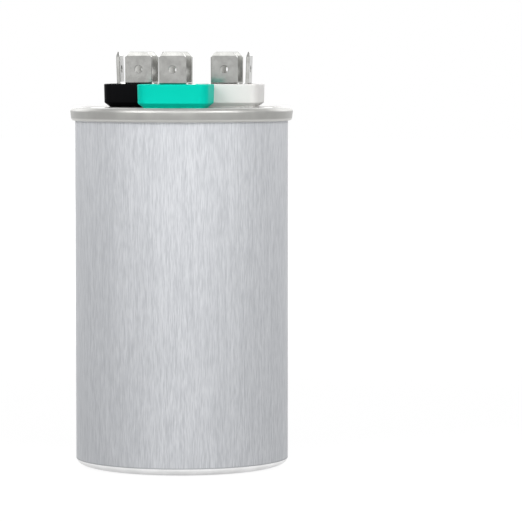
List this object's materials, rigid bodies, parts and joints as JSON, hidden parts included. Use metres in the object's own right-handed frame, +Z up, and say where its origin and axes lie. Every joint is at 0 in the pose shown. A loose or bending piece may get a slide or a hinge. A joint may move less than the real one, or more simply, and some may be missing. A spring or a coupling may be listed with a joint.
{
  "type": "motor run capacitor",
  "caption": "Round metal-can dual motor run capacitor with a rolled top seam and three moulded terminal blocks carrying push-on tabs.",
  "frame": {"origin": "centre of the flat base, on the surface that it stands on", "axes": "+Z up the can's axis to the terminals; the fan terminal stands on the -Y side, the compressor terminal on the +X side and the common terminal on the -X side"},
  "size_m": [0.0526, 0.0526, 0.098],
  "materials": {
    "can_metal": "bright drawn sheet, satin",
    "lid_metal": "pressed sheet, satin",
    "film_silver": "silver film with an upright brushed grain",
    "black_plastic": "moulded, low gloss",
    "teal_plastic": "moulded, low gloss",
    "white_plastic": "moulded, low gloss",
    "tinned_brass": "stamped strip, tin plated",
    "gasket_rubber": "matt",
    "disc_board": "pressed board",
    "liner_plastic": "thin moulded polymer",
    "wound_film": "metallised film, wound",
    "end_zinc": "sprayed metal, matt"
  },
  "bodies": {
    "root": {"can": "can_metal", "lid": "lid_metal", "wrap_film": "film_silver", "common_block": "black_plastic", "fan_block": "teal_plastic", "herm_block": "white_plastic", "common_terminal": "tinned_brass", "fan_terminal": "tinned_brass", "herm_terminal": "tinned_brass", "common_rivet": "tinned_brass", "fan_rivet": "tinned_brass", "herm_rivet": "tinned_brass", "common_gasket": "gasket_rubber", "fan_gasket": "gasket_rubber", "herm_gasket": "gasket_rubber", "interrupter_disc": "disc_board", "liner_cup": "liner_plastic", "core_tube": "liner_plastic", "fan_winding": "wound_film", "section_barrier": "liner_plastic", "herm_winding": "wound_film", "common_end_spray": "end_zinc", "fan_end_spray": "end_zinc", "herm_end_spray": "end_zinc", "common_lead": "tinned_brass", "fan_lead": "tinned_brass", "herm_lead": "tinned_brass"}
  },
  "joints": []
}
